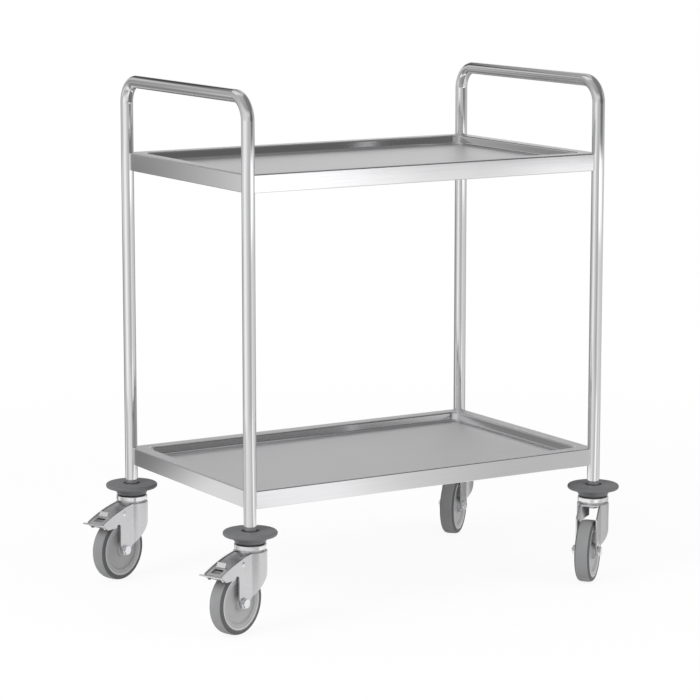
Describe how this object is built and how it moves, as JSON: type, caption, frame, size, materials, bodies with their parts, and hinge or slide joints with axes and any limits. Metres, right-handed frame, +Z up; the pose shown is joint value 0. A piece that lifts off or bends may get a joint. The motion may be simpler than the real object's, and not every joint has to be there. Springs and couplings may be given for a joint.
{
  "type": "serving trolley",
  "caption": "Two-shelf stainless serving trolley with bent tube end frames, push handles, bumper discs and swivel casters, two of them braked.",
  "frame": {"origin": "on the floor, under the middle of the whole trolley's box with its casters turned as stored", "axes": "+X along the trolley from the braked end to the plain end, +Y to the far long side, +Z up"},
  "size_m": [0.9676, 0.6266, 1.017],
  "materials": {
    "tube_steel": "polished stainless steel tube",
    "shelf_steel": "fine satin stainless sheet",
    "bumper_plastic": "dark grey moulded plastic",
    "fork_steel": "pressed stainless sheet",
    "head_steel": "polished stainless steel",
    "lever_steel": "pressed stainless sheet",
    "bolt_steel": "bright steel",
    "plug_steel": "plain steel",
    "bearing_steel": "ground steel",
    "wheel_plastic": "grey moulded plastic",
    "tyre_rubber": "grey non marking rubber",
    "shoe_steel": "plain steel block"
  },
  "bodies": {
    "frame": {"end_frame_left": "tube_steel", "end_frame_right": "tube_steel", "upper_shelf": "shelf_steel", "lower_shelf": "shelf_steel", "stem_bolts": "bolt_steel", "bumper_front_left": "bumper_plastic", "plug_front_left": "plug_steel", "head_front_left": "head_steel", "bumper_front_right": "bumper_plastic", "plug_front_right": "plug_steel", "head_front_right": "head_steel", "bumper_rear_left": "bumper_plastic", "plug_rear_left": "plug_steel", "head_rear_left": "head_steel", "bumper_rear_right": "bumper_plastic", "plug_rear_right": "plug_steel", "head_rear_right": "head_steel"},
    "swivel_front_left": {"fork_front_left": "fork_steel", "balls_front_left": "bearing_steel", "axle_front_left": "bolt_steel", "nut_front_left": "bolt_steel", "pin_front_left": "bolt_steel"},
    "roller_front_left": {"wheel_front_left": "wheel_plastic", "tyre_front_left": "tyre_rubber", "bearings_front_left": "bearing_steel"},
    "brake_front_left": {"lever_front_left": "lever_steel", "shoe_front_left": "shoe_steel"},
    "swivel_front_right": {"fork_front_right": "fork_steel", "balls_front_right": "bearing_steel", "axle_front_right": "bolt_steel", "nut_front_right": "bolt_steel"},
    "roller_front_right": {"wheel_front_right": "wheel_plastic", "tyre_front_right": "tyre_rubber", "bearings_front_right": "bearing_steel"},
    "swivel_rear_left": {"fork_rear_left": "fork_steel", "balls_rear_left": "bearing_steel", "axle_rear_left": "bolt_steel", "nut_rear_left": "bolt_steel", "pin_rear_left": "bolt_steel"},
    "roller_rear_left": {"wheel_rear_left": "wheel_plastic", "tyre_rear_left": "tyre_rubber", "bearings_rear_left": "bearing_steel"},
    "brake_rear_left": {"lever_rear_left": "lever_steel", "shoe_rear_left": "shoe_steel"},
    "swivel_rear_right": {"fork_rear_right": "fork_steel", "balls_rear_right": "bearing_steel", "axle_rear_right": "bolt_steel", "nut_rear_right": "bolt_steel"},
    "roller_rear_right": {"wheel_rear_right": "wheel_plastic", "tyre_rear_right": "tyre_rubber", "bearings_rear_right": "bearing_steel"}
  },
  "joints": [
    {"name": "swivel_front_left", "type": "hinge", "parent": "frame", "child": "swivel_front_left", "pos_m": [-0.36224, -0.2327, 0.153], "axis": [0, 0, 1], "continuous": true},
    {"name": "roll_front_left", "type": "hinge", "parent": "swivel_front_left", "child": "roller_front_left", "pos_m": [-0.40396, -0.24955, 0.0625], "axis": [0.3746, -0.9272, 0], "continuous": true},
    {"name": "brake_front_left", "type": "hinge", "parent": "swivel_front_left", "child": "brake_front_left", "pos_m": [-0.40581, -0.2503, 0.137], "axis": [0.3746, -0.9272, 0], "range_deg": [0, 8]},
    {"name": "swivel_front_right", "type": "hinge", "parent": "frame", "child": "swivel_front_right", "pos_m": [0.43176, -0.2327, 0.153], "axis": [0, 0, 1], "continuous": true},
    {"name": "roll_front_right", "type": "hinge", "parent": "swivel_front_right", "child": "roller_front_right", "pos_m": [0.39832, -0.26281, 0.0625], "axis": [0.6691, -0.7431, 0], "continuous": true},
    {"name": "swivel_rear_left", "type": "hinge", "parent": "frame", "child": "swivel_rear_left", "pos_m": [-0.36224, 0.2613, 0.153], "axis": [0, 0, 1], "continuous": true},
    {"name": "roll_rear_left", "type": "hinge", "parent": "swivel_rear_left", "child": "roller_rear_left", "pos_m": [-0.40396, 0.24444, 0.0625], "axis": [0.3746, -0.9272, 0], "continuous": true},
    {"name": "brake_rear_left", "type": "hinge", "parent": "swivel_rear_left", "child": "brake_rear_left", "pos_m": [-0.40581, 0.2437, 0.137], "axis": [0.3746, -0.9272, 0], "range_deg": [0, 8]},
    {"name": "swivel_rear_right", "type": "hinge", "parent": "frame", "child": "swivel_rear_right", "pos_m": [0.43176, 0.2613, 0.153], "axis": [0, 0, 1], "continuous": true},
    {"name": "roll_rear_right", "type": "hinge", "parent": "swivel_rear_right", "child": "roller_rear_right", "pos_m": [0.39832, 0.23119, 0.0625], "axis": [0.6691, -0.7431, 0], "continuous": true}
  ]
}
